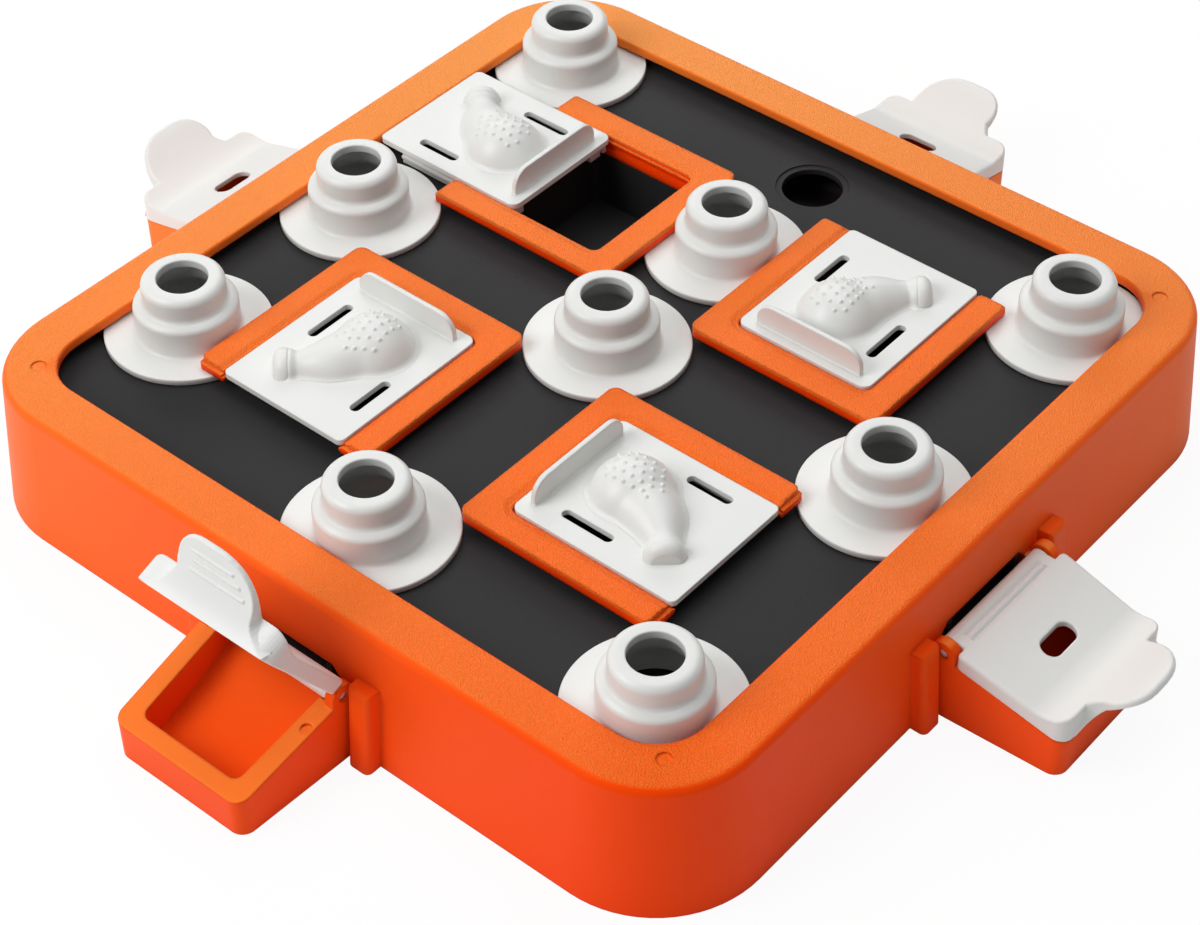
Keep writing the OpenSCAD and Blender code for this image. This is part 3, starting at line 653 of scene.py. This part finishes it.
def axisPlace(u, v, z, at, turn, rise):
    a, b = math.radians(turn), math.radians(rise)
    du, dv, dz = u - at[0], v - at[1], z - at[2]
    run = du * math.cos(a) * math.cos(b) + dv * math.sin(a) * math.cos(b) + dz * math.sin(b)
    return run, np.sqrt(np.maximum(du * du + dv * dv + dz * dz - run * run, 0))


def roundCone(run, out, r1, r2, length):
    s = (r1 - r2) / length
    c = math.sqrt(1 - s * s)
    along = run * c - out * s
    side = out * c + run * s - r1
    tip = np.where(along > length * c, np.hypot(out, run - length) - r2, side)
    return np.where(along < 0, np.hypot(out, run) - r1, tip)


def knobField(u, v, z):
    k = knobLook
    bulbRun, bulbOut = axisPlace(u, v, z, k["bulb"], k["bulbTurn"], k["bulbRise"])
    bulb = roundCone(bulbRun, bulbOut, k["bulbR"], k["neckR"], k["neckAt"])
    boneRun, boneOut = axisPlace(u, v, z, k["bone"], k["boneTurn"], k["boneRise"])
    bone = roundCone(boneRun, boneOut, k["boneR"], k["boneTipR"], k["boneTipAt"])
    run, out = axisPlace(u, v, z, k["cap"], k["capTurn"], 0)
    dome = (np.hypot(out / k["capR"], (run - k["capFrom"]) / k["capBulge"]) - 1) * k["capBulge"]
    cap = cut(dome, k["capFrom"] - run, k["capEdge"])
    return joined(joined(bulb, bone, k["neckFillet"]), cap, k["capFillet"]) - lidLook["lift"]


def tabField(u, v, z):
    t = tabLook
    plane = np.abs(u - t["at"] - t["thick"] / 2) - t["thick"] / 2
    outline = cut(np.abs(v) - t["half"], z - t["high"], t["cornerR"])
    return cut(plane, outline, t["edge"]) - lidLook["lift"]


# a form with a fillet down to the plate, and only as much of the plate as the fillet needs
def plateSkin(field, look):
    def onPlate(u, v, z):
        return joined(field(u, v, z), z - lidLook["lift"], look["fillet"])

    points, faces, slopes = skinOf(onPlate, *look["box"], look["step"])
    near = field(*points.T) < look["fillet"] + lidLook["spare"]
    points, faces, slopes = trimmed(points, faces, slopes, near & (points[:, 2] > 0))
    return points.tolist(), faces.tolist(), slopes.tolist()


def fieldAt(field, u, v, z):
    return float(field(np.array([u]), np.array([v]), np.array([z]))[0])


def gripBump(field, u, v):
    look = bumpLook
    z = look["above"]
    for _ in range(look["tries"]):
        z -= fieldAt(field, u, v, z) * look["stride"]
    slope = Vector(slopeOf(field, np.array([[u, v, z]]))[0][0])
    side = slope.orthogonal().normalized()
    other = slope.cross(side)
    rings, turns = look["rings"], look["turns"]
    points, faces, slopes = [], [], []
    for i in range(rings + 1):
        rise = look["high"] * math.cos(math.pi / 2 * i / rings) ** look["point"] - look["sink"]
        tilt = look["tilt"] * math.sin(math.pi * i / rings)
        for j in range(turns if i else 1):
            a = 2 * math.pi * j / turns
            outward = side * math.cos(a) + other * math.sin(a)
            base = Vector((u, v, z)) + outward * (look["r"] * i / rings)
            points.append(base + slope * (rise - fieldAt(field, *base)))
            slopes.append((slope + outward * tilt).normalized())
    for j in range(turns):
        k = (j + 1) % turns
        faces.append((0, 1 + j, 1 + k))
        for i in range(1, rings):
            a, b = 1 + (i - 1) * turns, 1 + i * turns
            faces.append((a + j, b + j, b + k, a + k))
    return points, faces, slopes


def lidSkin():
    look = bumpLook
    parts = [plateSkin(knobField, knobLook), plateSkin(tabField, tabLook)]
    for v, first, count in look["rows"]:
        for i in range(count):
            u = first + look["pitch"] * i
            bent = v + look["bend"] * max(0, u - look["bendFrom"]) ** 2
            parts.append(gripBump(knobField, u, bent))
    v, u = look["single"]
    parts.append(gripBump(knobField, u, v))
    return gathered(parts)


verts, faces, normals = lidSkin()
mesh = newMesh("lidKnob", verts, faces, normals)
for i, out in lidPlaces.items():
    place = turned(cells[i]) @ moved(lidLook["inner"] + out, -street / 2, lidLook["top"])
    newPiece(mesh, "knobAndTab_%d" % i, "lid_%d" % i, place)
print("stage: lid knobs", len(verts))


# flaps, drawn closed with the hinge axis at the origin: x outwards, y along the hinge
flapPlaces = {"a": 69.2, "b": 0, "c": 0, "d": 0}  # how far each flap is drawn open
flapLook = {
    "hinge": (146.5, 0, 25),
    "slope": 14.4,
    # plate and skirt
    "skirtAt": -0.923,
    "skirtH": 5.4,
    "skirtT": 2.0,
    "thick": 2.2,
    "out": 41.15,
    "halfOut": 25.8,
    "wingIn": 4.6,
    "wingHalf": 27.2,
    "wingR": 1.6,
    "cornerR": 5.0,
    "edge": 1.2,
    "lowEdge": 0.45,
    "hollowR": 3.0,
    "hollowEdge": 0.8,
    "innerEdge": 0.3,
    # tongue
    "tongueL": 21.5,
    "tongueAngle": 44.8,
    "tongueTurn": 28,
    "bendR": 12,
    "tipTilt": 20,
    "tipLeft": -13.8,
    "tipLeftR": 9.2,
    "tipRight": 16.3,
    "tipRightR": 15.2,
    "rootLeft": -21,
    "rootRight": 24.6,
    "rootBack": 6,
    "rootIn": 5,
    # barrel and pins
    "barrelR": 3.3,
    "barrelHalf": 23.2,
    "barrelEdge": 0.3,
    "pinR": 1.6,
    "pinHalf": 26.2,
    "rootLow": -0.5,
    "rootRise": 0.07,
    "rootEdge": 2.0,
    # grooves, oval hole and ribs
    "grooves": (1.9, 4.6),
    "grooveW": 0.6,
    "grooveH": 0.9,
    "grooveHalf": 19.4,
    "grooveEnd": 0.5,
    "ovalAt": 21.5,
    "ovalR": 3.3,
    "ovalHalf": 3.75,
    "ovalEdge": 0.4,
    "ribs": ((135, 12.0), (127.5, 9.8), (120, 7.2)),  # angle about the tongue's middle, end
    "ribR": 0.6,
    "ribFrom": -8,
    "ribFillet": 0.3,
    "box": ((-4.3, -28.3, -13.3), (60, 28.3, 8.2)),
    "step": 0.5,
}


def along(point, degrees, distance):
    a = math.radians(degrees)
    return (point[0] + distance * math.cos(a), point[1] + distance * math.sin(a))


def bentLine(p, q, r, count):
    line = []
    for n in range(count + 1):
        t = n / count
        line.append(tuple((1 - t) ** 2 * p[i] + 2 * t * (1 - t) * q[i] + t * t * r[i] for i in (0, 1)))
    return line


def flapPlan():
    f = flapLook
    r, w = f["cornerR"], f["wingR"]
    line = [(-f["barrelR"], -f["barrelHalf"]), (f["wingIn"], -f["barrelHalf"])]
    line += arc(f["wingIn"] + w, -f["wingHalf"] + w, w, 180, 270, 4)
    line += arc(f["out"] - r, -f["halfOut"] + r, r, 270, 360, 8)
    line += arc(f["out"] - r, f["halfOut"] - r, r, 0, 90, 8)
    line += arc(f["wingIn"] + w, f["wingHalf"] - w, w, 90, 180, 4)
    return line + [(f["wingIn"], f["barrelHalf"]), (-f["barrelR"], f["barrelHalf"])]


def tonguePlan():
    f = flapLook
    reach = f["tongueL"] * math.cos(math.radians(f["tipTilt"]))
    leftR, rightR = f["tipLeftR"], f["tipRightR"]
    left = (reach - leftR, f["tipLeft"] + leftR)
    right = (reach - rightR, f["tipRight"] - rightR)
    leftStart = along(left, -90 - f["tipTilt"], leftR)
    line = [(-f["rootBack"], f["rootLeft"] + f["rootIn"])]
    line += bentLine((0, f["rootLeft"]), along(leftStart, f["tipTilt"], -f["rootIn"]), leftStart, 6)
    line += arc(*left, leftR, -90 - f["tipTilt"], 0, 8)[1:]
    line += arc(*right, rightR, 0, 90, 9)
    line += bentLine((right[0], f["tipRight"]), (right[0] / 2, f["tipRight"]), (0, f["rootRight"]), 6)[1:]
    return line + [(-f["rootBack"], f["rootRight"] - f["rootIn"])]


flapPoints, tonguePoints = flapPlan(), tonguePlan()
flapSlope = math.radians(flapLook["slope"])
flapFoot = (flapLook["out"], flapLook["skirtAt"] - flapLook["out"] * math.tan(flapSlope))
tongueR = flapLook["tongueL"] / 2 / math.sin(math.radians(flapLook["tongueTurn"]))
tongueMiddle = along(flapFoot, flapLook["tongueAngle"] + flapLook["tongueTurn"] - 90, tongueR)


def flapTop(x, y, z, plate, ring):
    f = flapLook
    groove = sum(np.exp(-((x - at) / f["grooveW"]) ** 2) for at in f["grooves"])
    top = cut(plate, z - f["barrelR"] - f["rootRise"] * x, f["rootEdge"])
    top = top + f["grooveH"] * groove * np.clip((f["grooveHalf"] - np.abs(y)) / f["grooveEnd"], 0, 1)
    return joined(top, ring - tongueR - f["thick"], f["bendR"])


def flapOutline(x, y, z):
    f = flapLook
    tilt = math.radians(f["tongueAngle"] - f["tipTilt"])
    run = (x - flapFoot[0]) * math.cos(tilt) + (z - flapFoot[1]) * math.sin(tilt)
    return np.minimum(polygonField(x, y, flapPoints), polygonField(run, y, tonguePoints))


def flapHollow(x, y, plate):
    f = flapLook
    halfX = (f["out"] - f["wingIn"]) / 2 - f["skirtT"]
    inX = np.abs(x - (f["out"] + f["wingIn"]) / 2) - halfX
    inY = np.abs(y) - f["halfOut"] + f["skirtT"]
    return cut(cut(inX, inY, f["hollowR"]), plate + f["thick"], f["hollowEdge"])


def flapField(x, y, z):
    f = flapLook
    skirtZ = f["skirtAt"] - x * math.tan(flapSlope)
    plate = (z - skirtZ - f["skirtH"]) * math.cos(flapSlope)
    ring = np.hypot(x - tongueMiddle[0], z - tongueMiddle[1])
    solid = cut(flapTop(x, y, z, plate, ring), flapOutline(x, y, z), f["edge"])

    skirt = np.maximum((skirtZ - z) * math.cos(flapSlope), f["wingIn"] - x)
    under = np.maximum(np.minimum(f["rootLow"] - z, skirt), tongueR - ring)
    solid = cut(solid, under, f["lowEdge"])
    solid = cut(solid, -flapHollow(x, y, plate), f["innerEdge"])
    oval = np.hypot(x - f["ovalAt"], np.maximum(np.abs(y) - f["ovalHalf"], 0)) - f["ovalR"]
    solid = cut(solid, -oval, f["ovalEdge"])

    axle = np.hypot(x, z)
    barrel = cut(axle - f["barrelR"], np.abs(y) - f["barrelHalf"], f["barrelEdge"])
    pin = cut(axle - f["pinR"], np.abs(y) - f["pinHalf"], f["barrelEdge"])
    # behind the hinge nothing reaches past the barrel, so that the flap clears the tray when it opens
    solid = np.maximum(solid, np.minimum(axle - f["barrelR"], -x))
    solid = np.minimum(solid, np.minimum(barrel, pin))
    for angle, end in f["ribs"]:
        at = along(tongueMiddle, angle, tongueR)
        beyond = np.maximum(np.maximum(y - end, f["ribFrom"] - y), 0)
        rib = np.sqrt((x - at[0]) ** 2 + (z - at[1]) ** 2 + beyond ** 2) - f["ribR"]
        solid = joined(solid, rib, f["ribFillet"])
    return solid


points, faces, slopes = skinOf(flapField, *flapLook["box"], flapLook["step"])
mesh = newMesh("flap", points.tolist(), faces.tolist(), slopes.tolist())
for side, angle in flapPlaces.items():
    place = turned(sides[side]) @ moved(*flapLook["hinge"]) @ turned(-angle, "Y")
    newPiece(mesh, "flapShell_" + side, "flap_" + side, place, "flap_" + side)
print("stage: flaps", len(points))


# floor, lamps, backdrop and camera, in metres
white = (1, 1, 1, 1)
studio = {
    "floorHalf": 3.0,
    "floorZ": -0.0002,
    "floorSeen": (0.97, 0.97, 0.97, 1),
    "floorLit": (0.98, 0.98, 0.98, 1),
    "glow": 0.93,
    "world": 0.22,
}
lamps = {
    "key": {"at": (-0.55, -0.95, 0.98), "size": (0.8, 0.8), "watts": 12},
    "top": {"at": (-0.1, 0.3, 1.5), "size": (1.2, 1.2), "watts": 10.5},
    "back": {"at": (-0.85, 1.1, 0.85), "size": (1.4, 0.5), "watts": 5.5},
}
cameraLook = {
    "at": (0.4138, -0.4857, 0.5920),
    "aim": (0.0258, -0.0163, 0.0196),
    "sensor": 36,
    "lens": 81.6,
    "shift": -0.0318,
    "near": 0.01,
}


def linked(name, data):
    made = bpy.data.objects.new(name, data)
    bpy.context.scene.collection.objects.link(made)
    return made


def aimed(thing, at, aim):
    thing.location = at
    thing.rotation_euler = (Vector(aim) - Vector(at)).to_track_quat("-Z", "Y").to_euler()


def makeFloor():
    half, z = studio["floorHalf"], studio["floorZ"]
    mesh = bpy.data.meshes.new("floor")
    corners = [(-half, -half, z), (half, -half, z), (half, half, z), (-half, half, z)]
    mesh.from_pydata(corners, [], [(0, 1, 2, 3)])
    material, start = newMaterial("pale floor")
    lit = start.node("ShaderNodeBsdfDiffuse", None, {"Color": studio["floorLit"]})
    pale = start.node("ShaderNodeBsdfDiffuse", None, {"Color": studio["floorSeen"]})
    glow = start.node("ShaderNodeEmission", None, {"Color": white, "Strength": 1.0})
    shown = start.node("ShaderNodeMixShader", None, {0: studio["glow"], 1: pale, 2: glow})
    finish(start.node("ShaderNodeLightPath", out=0).shaders(lit, shown))
    mesh.materials.append(material)
    linked("floor", mesh)


def makeLamp(name, look):
    data = bpy.data.lights.new(name, "AREA")
    data.shape = "RECTANGLE"
    data.size, data.size_y = look["size"]
    data.energy = look["watts"]
    aimed(linked(name, data), look["at"], (0, 0, 0))


def makeWorld():
    world = bpy.data.worlds.new("studio")
    bpy.context.scene.world = world
    world.use_nodes = True
    world.node_tree.nodes.clear()
    start = Wire(world.node_tree, None)
    around = start.node("ShaderNodeBackground", None, {"Color": white, "Strength": studio["world"]})
    pale = start.node("ShaderNodeBackground", None, {"Color": white, "Strength": 1.0})
    finish(start.node("ShaderNodeLightPath", out=0).shaders(around, pale), "ShaderNodeOutputWorld")


def makeCamera():
    look = cameraLook
    data = bpy.data.cameras.new("camera")
    data.sensor_width = look["sensor"]
    data.lens = look["lens"]
    data.shift_x = look["shift"]
    data.clip_start = look["near"]
    camera = linked("camera", data)
    aimed(camera, look["at"], look["aim"])
    bpy.context.scene.camera = camera


makeFloor()
makeWorld()
makeCamera()
for name, look in lamps.items():
    makeLamp(name, look)
bpy.context.scene.view_settings.view_transform = "Standard"
print("stage: studio")
